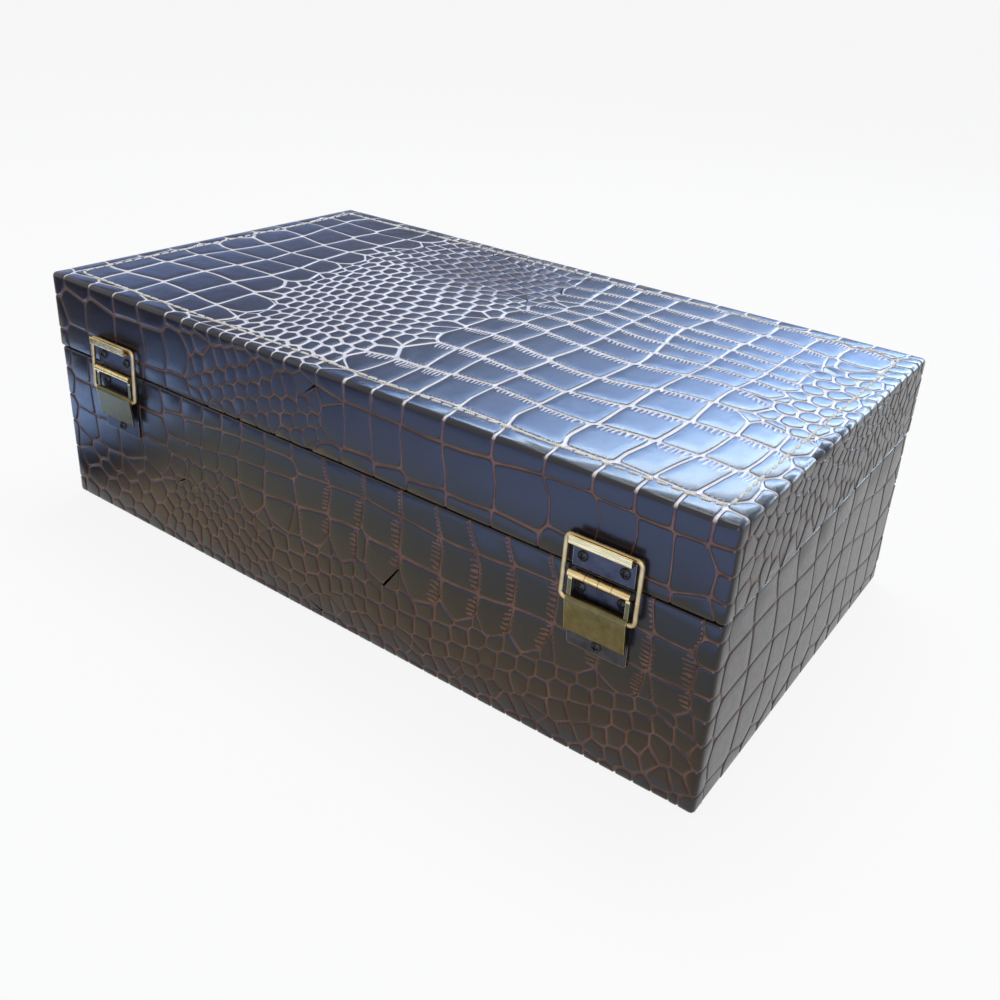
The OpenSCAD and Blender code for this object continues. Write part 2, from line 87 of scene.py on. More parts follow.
class Value:
    """A socket in a finish. Sums, differences, products and powers of it add Math nodes."""

    def __init__(self, finish, socket):
        self.finish = finish
        self.socket = socket

    def maths(self, operation, *values):
        return self.finish.node("ShaderNodeMath", {"operation": operation}, *values)

    def __add__(self, other):
        return self.maths("ADD", self, other)

    def __radd__(self, other):
        return self.maths("ADD", other, self)

    def __sub__(self, other):
        return self.maths("SUBTRACT", self, other)

    def __rsub__(self, other):
        return self.maths("SUBTRACT", other, self)

    def __mul__(self, other):
        return self.maths("MULTIPLY", self, other)

    def __rmul__(self, other):
        return self.maths("MULTIPLY", other, self)

    def __pow__(self, other):
        return self.maths("POWER", self, other)

    def __abs__(self):
        return self.maths("ABSOLUTE", self)


class Finish:
    """The nodes of one material. Its plain numbers and colours are set on the shader's own sockets."""

    def __init__(self, name, owner=None, **plain):
        self.material = owner or bpy.data.materials.new(name)
        self.material.use_nodes = True
        self.tree = self.material.node_tree
        self.shader = self.tree.nodes.get("Principled BSDF")
        for socket, value in plain.items():
            self.shader.inputs[socket.replace("_", " ")].default_value = value

    def node(self, kind, settings, *values, **named):
        """Adds a node. Its settings come first, then the values or links of its sockets, in order or by name."""
        made = self.tree.nodes.new(kind)
        output = settings.pop("output", 0)
        for stop, (place, colour) in enumerate(settings.pop("stops", [])):
            if stop > 1:
                made.color_ramp.elements.new(place)
            made.color_ramp.elements[stop].position = place
            made.color_ramp.elements[stop].color = (*colour, 1)
        for setting, value in settings.items():
            setattr(made, setting, value)
        sockets = {s.identifier: s for s in made.inputs}
        for socket, value in [*zip(made.inputs, values), *((sockets[k], v) for k, v in named.items())]:
            if isinstance(value, Value):
                self.tree.links.new(value.socket, socket)
            else:
                socket.default_value = value
        return Value(self, made.outputs[output])

    def paint(self, **links):
        """Links what changes over the surface to the shader."""
        for socket, value in links.items():
            self.tree.links.new(value.socket, self.shader.inputs[socket.replace("_", " ")])

    def place(self):
        return self.node("ShaderNodeTexCoord", {"output": "Object"})

    def blend(self, share, low, high):
        """A colour from low at 0 to high at 1."""
        low, high = [c if isinstance(c, Value) else (*c, 1) for c in (low, high)]
        return self.node(
            "ShaderNodeMix", {"data_type": "RGBA", "output": 2}, Factor_Float=share, A_Color=low, B_Color=high
        )

    def mottle(self, size, detail=3.0, roughness=0.5, stretch=(1, 1, 1)):
        """Soft noise from 0 to 1 in spots of a size in metres, stretched along some directions."""
        spot = self.node("ShaderNodeMapping", {}, Vector=self.place(), Scale=tuple(1 / s for s in stretch))
        return self.node(
            "ShaderNodeTexNoise", {}, Vector=spot, Scale=1 / size, Detail=detail, Roughness=roughness
        )

    def carry(self, value, low, high, start=0.0, end=1.0):
        """A value carried from the span low to high to the span start to end, and kept in it."""
        return self.node("ShaderNodeMapRange", {}, value, low, high, start, end)

    def drawn(self, name):
        """A number that the mesh holds at its points."""
        return self.node("ShaderNodeAttribute", {"attribute_name": name, "output": "Fac"})

    def relief(self, *layers):
        """Bumps over one another, each a height from 0 to 1 and its depth in metres."""
        links = {}
        for height, depth in layers:
            links["Normal"] = self.node("ShaderNodeBump", {}, Strength=1.0, Distance=depth, Height=height, **links)
        self.paint(Normal=links["Normal"])


def backdrop_colour(finish, near, seen, lit):
    """Shows the colour seen to the camera, to gloss and through glass, and lights with the shader lit."""
    rays = finish.node("ShaderNodeLightPath", {"output": "Is Camera Ray"}).socket.node
    straight = Value(finish, rays.outputs["Is Camera Ray"])
    shown = straight.maths("MAXIMUM", straight, Value(finish, rays.outputs["Is Glossy Ray"]))
    shown = shown.maths("MAXIMUM", shown, Value(finish, rays.outputs["Is Transmission Ray"]))
    return finish.node("ShaderNodeMixShader", {}, shown * near, lit, seen)


board = bmesh.new()
bmesh.ops.create_grid(board, x_segments=1, y_segments=1, size=40)
mesh = bpy.data.meshes.new("floor")
board.to_mesh(mesh)
floor = bpy.data.objects.new("floor", mesh)
bpy.context.scene.collection.objects.link(floor)
white = Finish("white board", Roughness=0.9, Base_Color=(0.82, 0.82, 0.82, 1))
glow = white.node("ShaderNodeEmission", {}, Color=(1, 1, 1, 1), Strength=1.0)
shown = backdrop_colour(white, 0.88, glow, Value(white, white.shader.outputs[0]))
white.tree.links.new(shown.socket, white.tree.nodes["Material Output"].inputs["Surface"])
mesh.materials.append(white.material)
floor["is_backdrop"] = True

room = bpy.data.worlds.new("room")
bpy.context.scene.world = room
air = Finish("room", room)
dim = air.node("ShaderNodeBackground", {}, Color=(0.95, 0.97, 1, 1), Strength=0.42)
bright = air.node("ShaderNodeBackground", {}, Color=(1, 1, 1, 1), Strength=1.0)
seen = backdrop_colour(air, 1.0, bright, dim)
air.tree.links.new(seen.socket, air.tree.nodes["World Output"].inputs["Surface"])


def softbox(name, place, aim, width, height, power, colour):
    """A lamp with a flat square front, aimed at a point."""
    lamp = bpy.data.lights.new(name, "AREA")
    lamp.shape = "RECTANGLE"
    lamp.size = width
    lamp.size_y = height
    lamp.energy = power
    lamp.color = colour
    stand = bpy.data.objects.new(name, lamp)
    bpy.context.scene.collection.objects.link(stand)
    stand.location = place
    stand.rotation_euler = (Vector(place) - Vector(aim)).to_track_quat("Z", "Y").to_euler()
    stand.visible_camera = False


softbox("softbox above", (-0.1, 0.35, 1.35), (0, 0, 0.1), 0.75, 0.5, 7.5, (0.96, 0.98, 1))
softbox("softbox in front", (0.9, -1.6, 0.9), (0, 0, 0.05), 0.8, 0.8, 9.0, (1, 0.97, 0.93))

# ---- Cards that only gloss shows ----
# The photograph's box mirrors a blue window behind it and a dark, warm table in front of it. Two cards stand in
# for them, out of the camera's sight, and light nothing.


def card(name, outline, strength, colour_of):
    """A card with the colour that colour_of makes of its x, y and z."""
    mesh = bpy.data.meshes.new(name)
    outline.to_mesh(mesh)
    made = bpy.data.objects.new(name, mesh)
    bpy.context.scene.collection.objects.link(made)
    made.visible_camera = False
    made.visible_diffuse = False
    made.visible_shadow = False
    finish = Finish(name)
    split = finish.node("ShaderNodeSeparateXYZ", {}, finish.place())
    colour = colour_of(finish, *(Value(finish, s) for s in split.socket.node.outputs))
    glow = finish.node("ShaderNodeEmission", {}, Color=colour, Strength=strength)
    finish.tree.links.new(glow.socket, finish.tree.nodes["Material Output"].inputs["Surface"])
    mesh.materials.append(finish.material)
    made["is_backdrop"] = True


def window(finish, x, y, z):
    share = (0.752 * y.maths("ARCTAN2", y, x) - 1.127 * z - 0.071) * (1 / 1.35)
    return finish.node("ShaderNodeValToRGB", {"stops": [
        (0.0, (0.015, 0.02, 0.03)), (0.12, (0.1, 0.12, 0.17)), (0.17, (0.85, 0.97, 1.0)), (0.222, (0.42, 0.6, 0.8)),
        (0.274, (0.2, 0.34, 0.56)), (0.319, (0.07, 0.15, 0.36)), (0.4, (0.006, 0.032, 0.12)),
        (0.459, (0.0, 0.003, 0.05)), (0.533, (0.0, 0.0, 0.006)), (0.63, (0.0, 0.0, 0.0)),
        (0.74, (0.009, 0.004, 0.0)), (0.815, (0.004, 0.002, 0.0)), (0.889, (0.0, 0.0, 0.0)),
        (0.978, (0.02, 0.03, 0.06)),
    ]}, Fac=share)


def table(finish, x, y, z):
    far = -1 * y - 0.1
    warm = finish.node("ShaderNodeValToRGB", {"stops": [
        (0.0, (0.3, 0.21, 0.13)), (0.25, (0.22, 0.19, 0.12)), (0.5, (0.15, 0.18, 0.15)), (0.8, (0.28, 0.38, 0.68)),
        (1.0, (0.3, 0.42, 0.8)),
    ]}, Fac=far * (1 / 0.17))
    shade = finish.carry(x, -0.38, 0.0) + finish.carry(far, 0.06, 0.12, 1, 0)
    warm = finish.blend(shade, (0.0, 0.0, 0.02), warm)
    for spot, inside, outside, tone in (((-0.22, -0.112, 0), 0.03, 0.08, (0, 0, 0)),
                                        ((-0.27, -0.165, 0), 0.015, 0.08, (0.36, 0.55, 1.0))):
        apart = finish.node("ShaderNodeVectorMath", {"operation": "DISTANCE", "output": "Value"}, finish.place(), spot)
        warm = finish.blend(finish.carry(apart, inside, outside, 1, 0), warm, tone)
    return warm


arc = bmesh.new()
edge = [v for z in (0.28, 1.3) for v in bmesh.ops.create_vert(arc, co=(1.45, 0.4, z))["vert"]]
bmesh.ops.spin(
    arc, geom=edge + [arc.edges.new(edge)], cent=(0, 0, 0), axis=(0, 0, 1), dvec=(0, 0, 0), angle=math.radians(150),
    steps=40, use_merge=False, use_normal_flip=False, use_duplicate=False,
)
card("window card", arc, 30.0, window)
lying = bmesh.new()
bmesh.ops.create_grid(lying, x_segments=1, y_segments=1, size=1)
bmesh.ops.scale(lying, vec=(1.2, 0.6, 1), verts=lying.verts)
bmesh.ops.translate(lying, vec=(-0.2, -0.705, 0.0005), verts=lying.verts)
card("table card", lying, 4.0, table)

# ---- Leatherette of the base ----
# One sheet of cloth-backed leatherette, embossed with flat scales between pressed grooves. It is glued round
# the walls, turned in over the rim and under the bottom.

groove_depth = 0.45 * mm
rim_soft = 0.6 * mm
edge_r = 2 * mm
tooth_length = 3.6 * mm
tooth_share = 0.88
hand = random.Random(7)
noise.seed_set(7)


def wrapping(width, depth, rim, far, wall, lip, hem):
    """The sheet as it lies on its boards, at the depth of its grooves. It is open inside its rim, and inside
    the hem where it has one."""
    up = 1 if rim > far else -1
    rim, far = rim - up * groove_depth, far + up * groove_depth
    half = Vector((width / 2 - groove_depth, depth / 2 - groove_depth))
    shell = bmesh.new()
    bmesh.ops.create_cube(shell, size=1)
    bmesh.ops.scale(shell, vec=(2 * half.x, 2 * half.y, abs(rim - far)), verts=shell.verts)
    bmesh.ops.translate(shell, vec=(0, 0, (rim + far) / 2), verts=shell.verts)

    def facing(side):
        shell.normal_update()
        return max((f for f in shell.faces if f.normal.z * side > 0.9), key=lambda f: f.calc_area())

    opening = facing(up)
    round_rim = set(opening.edges)
    edges = [e for e in shell.edges if e not in round_rim]
    bmesh.ops.inset_region(shell, faces=[opening], thickness=wall - 2 * groove_depth, use_even_offset=True)
    pit = bmesh.ops.extrude_discrete_faces(shell, faces=[opening])["faces"][0]
    bmesh.ops.translate(shell, vec=(0, 0, -up * (lip - groove_depth)), verts=pit.verts)
    bmesh.ops.delete(shell, geom=[pit], context="FACES")
    bmesh.ops.bevel(
        shell, geom=edges, offset=edge_r - groove_depth, segments=3, profile=0.5, affect="EDGES", material=-1,
    )
    if hem:
        under = facing(-up)
        bmesh.ops.inset_region(shell, faces=[under], thickness=hem - edge_r, use_even_offset=True)
        bmesh.ops.delete(shell, geom=[under], context="FACES")
    shell.normal_update()
    turns = [e for e in shell.edges if len(e.link_faces) == 2 and e.calc_face_angle() > 1 and abs(e.verts[0].co.z - rim) < mm]
    bmesh.ops.bevel(shell, geom=turns, offset=rim_soft, segments=2, profile=0.5, affect="EDGES", material=-1)
    shell.normal_update()
    return shell


def ease(loop):
    """Rounds the corners of a closed line of points a little."""
    moved = {}
    for v in loop:
        beside = [e.other_vert(v).co for e in v.link_edges if e.other_vert(v) in loop]
        if len(beside) == 2:
            moved[v] = v.co.lerp((beside[0] + beside[1]) / 2, 0.4)
    for v, co in moved.items():
        v.co = co


def step_in(scale, tops, thickness, rise, stretch):
    """Insets the top of a scale by a thickness and lifts it. Its sides that face along X are stretched. Returns
    the line of points round the new top."""
    scale.normal_update()
    region = set(tops)
    sides = {}
    lifts = {}
    for f in tops:
        for corner in f.loops:
            lifts[corner.vert] = lifts.get(corner.vert, Vector()) + f.normal
            if len(region.intersection(corner.edge.link_faces)) == 1:
                side = f.normal.cross(corner.link_loop_next.vert.co - corner.vert.co).normalized()
                for v in corner.edge.verts:
                    sides.setdefault(v, []).append(side * (1 + stretch * abs(side.x)))
    target = {}
    for v, lift in lifts.items():
        step = Vector()
        if v in sides:
            first, last = sides[v][0], sides[v][-1]
            step = (first + last) / max(1 + first.dot(last), 0.6)
        target[v] = v.co + step * thickness * mm + lift.normalized() * rise * mm
    rim = [e for f in tops for e in f.edges if len(region.intersection(e.link_faces)) == 1]
    for e in rim * 3:
        start, end = e.verts
        if (target[end] - target[start]).dot(end.co - start.co) < 0:
            target[start] = target[end] = (target[start] + target[end]) / 2
    bmesh.ops.inset_region(scale, faces=tops, thickness=0.01 * mm, use_boundary=True)
    inner = {v for f in tops for v in f.verts}
    for v in inner:
        v.co = target[v if v in target else next(o for o in (e.other_vert(v) for e in v.link_edges) if o not in inner)]
    line = [e for f in tops for e in f.edges if len(region.intersection(e.link_faces)) == 1]
    return {v for e in line for v in e.verts}


def raise_scale(scale, flat, area, ticked, groove_half, small):
    """Steps the faces of a scale up from the groove's floor, in insets that are made smaller for a narrow one.
    Returns its top."""
    groove, ticks = [scale.verts.layers.float[n] for n in ("groove", "ticks")]
    tops = scale.faces[:]
    rings = [(groove_half, 0, 1), (0.26, 0.36, 1), (0.5, 0.05, tooth_share)]
    if ticked and not flat:
        rings += [(0.9, 0, 0.5)]
    for thickness, rise, strong in rings:
        wide = 0.7 if ticked and thickness == groove_half else 0
        line = step_in(scale, tops, thickness * small, rise * small, wide)
        for v in line:
            v[groove] *= not rise
            v[ticks] *= strong
        if thickness == groove_half and area > 90 * mm ** 2:
            ease(line)
    if flat and area > 90 * mm ** 2:
        centre = sum((v.co for v in line), Vector()) / len(line)
        nearest = min((v.co - centre).length for v in line)
        bmesh.ops.inset_region(scale, faces=tops, thickness=0.01 * mm, use_boundary=True)
        for v in {v for f in tops for v in f.verts}:
            v.co = centre.lerp(v.co, max(0.35, 1 - tooth_length / nearest))
            v[ticks] = 0
    elif not flat or not ticked:
        for v in line:
            v[ticks] = 0
    return tops


def emboss(name, shell, scales, outside, rim):
    """Presses a shell into scales: each is the part nearest to its middle, cut out with flat cuts, then
    stepped up from the groove's floor over a steep side to a slightly crowned and tilted top. Away from the
    edges of the box the lines swing a few millimetres."""
    for layer in ("groove", "ticks", "run"):
        shell.verts.layers.float.new(layer)
    shell.faces.layers.float.new("shade")
    middles = kdtree.KDTree(len(scales))
    for i, (middle, reach, ticked, groove_half) in enumerate(scales):
        middles.insert(middle, i)
    middles.balance()
    widest = max(reach for middle, reach, ticked, groove_half in scales)
    sheet = bmesh.new()
    piece = bpy.data.meshes.new(name)
    for middle, reach, ticked, groove_half in scales:
        scale = shell.copy()

        def cut(point, out):
            bmesh.ops.bisect_plane(
                scale, geom=scale.verts[:] + scale.edges[:] + scale.faces[:], dist=1e-8,
                plane_co=point, plane_no=out, clear_outer=True,
            )

        for axis in range(3):
            for side in (-1, 1):
                out = Vector(side * (axis == a) for a in range(3))
                cut(middle + out * 32 * mm, out)
        for other, j, apart in middles.find_n(middle, 80):
            if apart < 1e-6:
                continue
            span = max((v.co - middle).length for v in scale.verts)
            if apart / 2 - widest ** 2 / (2 * apart) > span:
                break
            cut(middle.lerp(other, 0.5 + (reach ** 2 - scales[j][1] ** 2) / (2 * apart ** 2)), other - middle)
            if not scale.faces:
                break
        bmesh.ops.remove_doubles(scale, verts=scale.verts, dist=0.02 * mm)
        if not scale.faces:
            scale.free()
            continue
        groove, ticks, run = [scale.verts.layers.float[n] for n in ("groove", "ticks", "run")]
        shade = scale.faces.layers.float["shade"]
        for e in [e for e in scale.edges if e.is_boundary]:
            cuts = round(e.calc_length() / (2.2 * mm) - 0.02)
            if cuts > 1:
                bmesh.ops.bisect_edges(scale, edges=[e], cuts=cuts - 1)
        scale_area = sum(f.calc_area() for f in scale.faces)
        border = sum(e.calc_length() for e in scale.edges if e.is_boundary)
        small = min(1, 2 * scale_area / border / (2.9 * mm))
        tone = hand.random()
        for f in scale.faces:
            f[shade] = tone
            f.smooth = True
        for v in scale.verts:
            v[groove] = v.is_boundary
        if ticked:
            scale.normal_update()
            for e in [e for e in scale.edges if e.is_boundary]:
                out = (e.verts[1].co - e.verts[0].co).cross(e.link_faces[0].normal).normalized()
                if out.dot(e.verts[0].co - e.link_faces[0].calc_center_median()) < 0:
                    out = -out
                strength = out.dot(ticked[0])
                if abs(strength) > 0.85:
                    for v in e.verts:
                        v[ticks] = max(v[ticks], 1 if strength > 0 else 0.3)
        flat = len(scale.faces) == 1
        plain = scale
        least = 1
        for share in (1, 0.75, 0.55):
            trial = plain.copy()
            raised = raise_scale(trial, flat, scale_area, ticked, groove_half, small * share)
            trial.normal_update()
            folded = sum(
                min(f.calc_area() for f in e.link_faces) for e in trial.edges
                if e.is_manifold and e.link_faces[0].normal.dot(e.link_faces[1].normal) < -0.1
            )
            if folded < least:
                scale, tops, least = trial, raised, folded
            if folded < 0.02 * mm ** 2:
                break
        groove, ticks, run = [scale.verts.layers.float[n] for n in ("groove", "ticks", "run")]
        if flat:
            tilt = Vector((hand.uniform(-1, 1), hand.uniform(-1, 1), hand.uniform(-1, 1))) * 0.007
            for v in tops[0].verts:
                v.co += tops[0].normal * (v.co - middle).dot(tilt)
        if ticked:
            for v in scale.verts:
                v[run] = v.co.dot(ticked[1])
        scale.to_mesh(piece)
        sheet.from_mesh(piece)
        scale.free()
    bmesh.ops.remove_doubles(sheet, verts=sheet.verts, dist=0.01 * mm)
    bmesh.ops.remove_doubles(sheet, verts=[v for v in sheet.verts if v.is_boundary], dist=0.03 * mm)
    sheet.normal_update()
    for v in sheet.verts:
        wave = noise.noise_vector(v.co / (14 * mm)) * 0.5 * mm
        gaps = [abs(o * mm - abs(c)) for o, c in zip(outside, v.co)]
        face = gaps.index(min(gaps))
        room = min(sorted(gaps)[1], abs(v.co.z - rim) if face < 2 else 1)
        if gaps[face] < 0.7 * mm and room > 3 * mm:
            wave += noise.noise_vector(v.co / (60 * mm)) * 9 * mm * min(1, (room / mm - 3) / 15)
            wave[face] = 0
            v.co += wave
        else:
            v.co += wave - v.normal * wave.dot(v.normal)
    sheet.to_mesh(piece)
    made = bpy.data.objects.new(name, piece)
    bpy.context.scene.collection.objects.link(made)
    return made


def lattice(middle, angle, width, height, columns, rows, within):
    """Places in offset rows about a middle, turned by an angle, that lie within a part of the sheet."""
    turn = Matrix.Rotation(math.radians(angle), 2)
    for row in range(-rows, rows + 1):
        for column in range(-columns, columns + 1):
            step = Vector(((column + (row % 2) / 2) * width, row * height))
            step += Vector((hand.uniform(-0.1, 0.1) * width, hand.uniform(-0.1, 0.1) * height))
            spot = Vector(middle) + turn @ step
            if within(*spot):
                yield spot.x, spot.y, math.sqrt(width * height) / 2


def columns(lines, start, end, width, wander=0.35):
    """Places between pairs of row lines, marched from start to end in steps of a width that may change. The
    steps wander alike in every row, so the lines across run on."""
    for near, far in zip(lines, lines[1:]):
        across = start
        count = 0
        while (end - across) * (end - start) > 0:
            step = width(across, (near + far) / 2) if callable(width) else width
            step *= 1 + wander * noise.noise(Vector((count * 1.7 + start, 0.5, 7)))
            spot = across + math.copysign(step / 2, end - start)
            across += math.copysign(step, end - start)
            count += 1
            drift = noise.noise_vector(Vector((spot / 45, near / 60, 3)))
            yield spot + drift.x * 1.5, (near + far) / 2 + drift.y * 4, math.sqrt(step * abs(far - near)) / 2


base = wrapping(349 * mm, 193 * mm, 79 * mm, 0.8 * mm, 10 * mm, 9 * mm, 15 * mm)
outside = (174.5, 96.5, 0.8)
scales = []


def lay(spots, place, ticked=None, groove_half=0.3, clear=6):
    """Adds the middles of scales that a place on the sheet carries to the box, in millimetres, apart from those
    that come too near to an edge, where the scales of turned() lie."""
    for u, v, reach in spots:
        x, y, z = place(u, v)
        if sorted((abs(outside[0] - abs(x)), abs(outside[1] - abs(y)), abs(outside[2] - z)))[1] >= clear:
            scales.append((Vector((x, y, z)) * mm, reach * mm, ticked, groove_half))


def turned(start, end, width):
    """Adds the scales that turn over an edge, from its start up to just before its end."""
    start, end = Vector(start), Vector(end)
    count = round((end - start).length / width)
    for step in range(count):
        along = (step + hand.uniform(-0.12, 0.12) * (step > 0)) / count
        scales.append((start.lerp(end, along) * mm, width / 2 * mm, None, 0.3))


def base_front(u, v):
    return u, -96.5, v


def base_right(u, v):
    return 174.5, u, v


def base_left(u, v):
    return -174.5, u, v


def base_back(u, v):
    return u, 96.5, v


right_of_line = (Vector((1, 0, 0)), Vector((0, 0, 1)))
lay(((v, u, r) for u, v, r in columns([-17, 1, 21.5, 41, 58.5, 74, 91, 110, 130, 151, 168], 81, 44, 13.2)),
    base_front, right_of_line, 0.4)
lay(((v, u, r) for u, v, r in columns([-102, -87, -73, -61, -49, -34, -17], 80, 48, 10.5)), base_front)
lay(((v, u, r) for u, v, r in columns([-169, -154, -138, -120, -102], 80, 40, 15)), base_front)
lay(lattice((70, 30), -38, 10.2, 6.4, 40, 20, lambda u, v: -34 < u < 176 and 14 < v < 43), base_front)
lay(lattice((70, 6), -38, 7.8, 5.8, 50, 20, lambda u, v: -34 < u < 176 and 6 < v < 14), base_front)
lay(lattice((-60, 26), -15, 7.2, 6.4, 30, 20, lambda u, v: -104 < u < -34 and 6 < v < 46), base_front)
lay(lattice((-140, 20), -10, 11, 9, 30, 20, lambda u, v: -176 < u < -104 and 7 < v < 38), base_front)
lay(columns([81, 64, 45, 26, 8], -88, 90, 19), base_right)
lay(columns([81, 63, 44, 24, 8], 88, -90, 18), base_left)
lay(columns([81, 63, 44, 24, 8], -166, 168, 18), base_back)
turned((-174.5, -96.5, 0.8), (-104, -96.5, 0.8), 10)
turned((-104, -96.5, 0.8), (174.5, -96.5, 0.8), 7)
turned((174.5, -96.5, 0.8), (174.5, 96.5, 0.8), 15)
turned((174.5, 96.5, 0.8), (-174.5, 96.5, 0.8), 16)
turned((-174.5, 96.5, 0.8), (-174.5, -96.5, 0.8), 15)
turned((174.5, -96.5, 77), (174.5, -96.5, 5), 11)
turned((-174.5, -96.5, 76), (-174.5, -96.5, 5), 13)
turned((174.5, 96.5, 74), (174.5, 96.5, 5), 15)
turned((-174.5, 96.5, 74), (-174.5, 96.5, 5), 15)
covering = emboss("base_leatherette", base, scales, outside, 79 * mm)


def dye_and_painted_light():
    """The leatherette's finish: near-black scales, a worn red-brown in the grooves that is painted pale on the
    lid's top as a painted highlight, painted shade on the grooves' steep walls, and on some rows short teeth
    pressed into the sides of the scales."""
    leather = Finish("leatherette", Coat_Weight=0.3, Coat_Roughness=0.15, Coat_IOR=1.5, Specular_IOR_Level=0.26)
    pressed = leather.drawn("groove")
    wobble = leather.mottle(5 * mm)
    cycle = leather.drawn("run") * (1 / (1.9 * mm)) + wobble * 1.4
    tooth = abs(cycle.maths("FRACT", cycle) - 0.5) * 2
    reach = leather.drawn("ticks")
    teeth = leather.carry(0.3 + reach * 0.35 - tooth, 0, 0.15) * leather.carry(reach - 0.14 - wobble * 0.2, 0, 0.1)
    pressed = pressed.maths("MAXIMUM", leather.carry(pressed, 0.1, 0.6), teeth)
    shade = leather.drawn("shade") * 0.6 + leather.mottle(25 * mm) * 0.4
    grain = leather.mottle(0.9 * mm, 4, 0.6)
    scale = leather.blend(shade * 0.7 + grain * 0.3, (0.007, 0.006, 0.009), (0.019, 0.016, 0.021))
    crease = leather.blend(leather.carry(leather.mottle(9 * mm), 0.35, 0.65), (0.07, 0.024, 0.016), (0.16, 0.07, 0.05))
    # Painted highlight: the lid top's grooves are painted pale, a quarter as much near a point toward the back.
    height = leather.node("ShaderNodeSeparateXYZ", {"output": 2}, leather.place())
    centre = leather.node("ShaderNodeVectorMath", {"operation": "DISTANCE", "output": "Value"},
                          leather.place(), (-28 * mm, 66 * mm, 115 * mm))
    wear_and_painted_glint = leather.carry(height, 113.6 * mm, 115 * mm) * leather.carry(centre, 22 * mm, 60 * mm, 0.25, 1)
    crease = leather.blend(wear_and_painted_glint, crease, (0.8, 0.76, 0.79))
    # Painted shade: the grooves' steep walls are darkened to near-black, less where the painted highlight lies.
    wall = leather.drawn("groove")
    wall = wall * (1 - wall) * (3.4 - 3 * wear_and_painted_glint)
    leather.paint(
        Base_Color=leather.blend(wall, leather.blend(pressed, scale, crease), (0.006, 0.004, 0.004)),
        Roughness=0.25 + 0.16 * leather.mottle(3 * mm) + 0.12 * pressed,
    )
    leather.relief((grain, 0.06 * mm), (leather.mottle(3.5 * mm), 0.06 * mm), (1 - teeth, 0.3 * mm))
    return leather.material


covering.data.materials.append(dye_and_painted_light())
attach(covering, "base")
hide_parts("base_skin")

# ---- Underside sheet and boards ----
# Dark backing paper under the bottom. Grey-brown pressed boards under the leatherette, unseen once covered.

paper = Finish("backing paper", Roughness=0.85)
fibre = paper.mottle(1.2 * mm, 5, 0.7)
paper.paint(Base_Color=paper.blend(fibre, (0.012, 0.012, 0.013), (0.045, 0.042, 0.04)))
paper.relief((fibre, 0.1 * mm))

pressed_board = Finish("pressed board", Roughness=0.8)
fibre = pressed_board.mottle(2 * mm, 6, 0.65, (4, 4, 1))
pressed_board.paint(Base_Color=pressed_board.blend(fibre, (0.2, 0.13, 0.075), (0.42, 0.31, 0.2)))
pressed_board.relief((fibre, 0.15 * mm))


def finish_nodes(words, material):
    """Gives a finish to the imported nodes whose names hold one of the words."""
    for node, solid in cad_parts.items():
        if any(word in node for word in words):
            solid.data.materials.clear()
            solid.data.materials.append(material)


finish_nodes(["underside"], paper.material)
finish_nodes(["_panel"], pressed_board.material)

# ---- Lining of the base ----
# Brown suede-like cloth glued to the walls, and on the floor over a thin pad of wadding.

suede = Finish("brown suede", Roughness=0.95, Sheen_Weight=0.5, Sheen_Roughness=0.45, Sheen_Tint=(0.9, 0.72, 0.55, 1))
nap = suede.mottle(0.6 * mm, 4, 0.7)
brushed = suede.carry(suede.mottle(30 * mm, 2), 0.35, 0.65)
suede.paint(
    Base_Color=suede.blend(
        nap, suede.blend(brushed, (0.15, 0.082, 0.045), (0.2, 0.115, 0.066)),
        suede.blend(brushed, (0.25, 0.15, 0.09), (0.33, 0.205, 0.125)),
    ),
)
suede.relief((nap, 0.2 * mm), (brushed, 0.3 * mm))


def suede_panel(name, node, body, crown):
    """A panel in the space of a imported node, its face crowned by some metres at the middle and its edges soft."""
    low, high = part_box(node)
    size = high - low
    thin = min(range(3), key=lambda a: size[a])
    panel = bmesh.new()
    bmesh.ops.create_grid(panel, x_segments=48, y_segments=24, size=0.5)
    wide, tall = [a for a in range(3) if a != thin]
    inward = -1 if (low + high)[thin] > (0.1 if thin == 2 else 0) else 1
    if thin == 2:
        inward = 1 if low.z < 0.05 else -1
    sheet = bmesh.ops.extrude_face_region(panel, geom=panel.faces[:])
    lifted = {v for v in sheet["geom"] if isinstance(v, bmesh.types.BMVert)}
    for v in panel.verts:
        u, w = v.co.x, v.co.y
        rim = min(0.5 - abs(u), (0.5 - abs(w)) * size[tall] / size[wide]) * size[wide]
        co = Vector((0, 0, 0))
        co[wide] = low[wide] + (u + 0.5) * size[wide]
        co[tall] = low[tall] + (w + 0.5) * size[tall]
        soft = min(1, max(0, rim) / (6 * mm)) ** 0.5
        rise = size[thin] - crown * (1 - soft) if v in lifted else 0
        co[thin] = low[thin] + rise if inward > 0 else high[thin] - rise
        v.co = co
    bmesh.ops.recalc_face_normals(panel, faces=panel.faces)
    for f in panel.faces:
        f.smooth = True
    data = bpy.data.meshes.new(name)
    panel.to_mesh(data)
    data.materials.append(suede.material)
    made = bpy.data.objects.new(name, data)
    bpy.context.scene.collection.objects.link(made)
    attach(made, body)
    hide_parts(node)
    return made


for side in ("front", "back", "left", "right"):
    suede_panel(f"base_{side}_suede", f"base_{side}_lining", "base", 0.4 * mm)
suede_panel("base_floor_cushion", "base_floor_pad", "base", 1.6 * mm)

lid = wrapping(350 * mm, 194 * mm, 79.6 * mm, 115.6 * mm, 10 * mm, 9 * mm, 0)
outside = (175, 97, 115.6)
scales = []


def lid_top(u, v):
    return u, v, 115.6


def lid_front(u, v):
    return u, -97, v


def lid_back(u, v):
    return u, 97, v


def lid_right(u, v):
    return 175, u, v


def lid_left(u, v):
    return -175, u, v


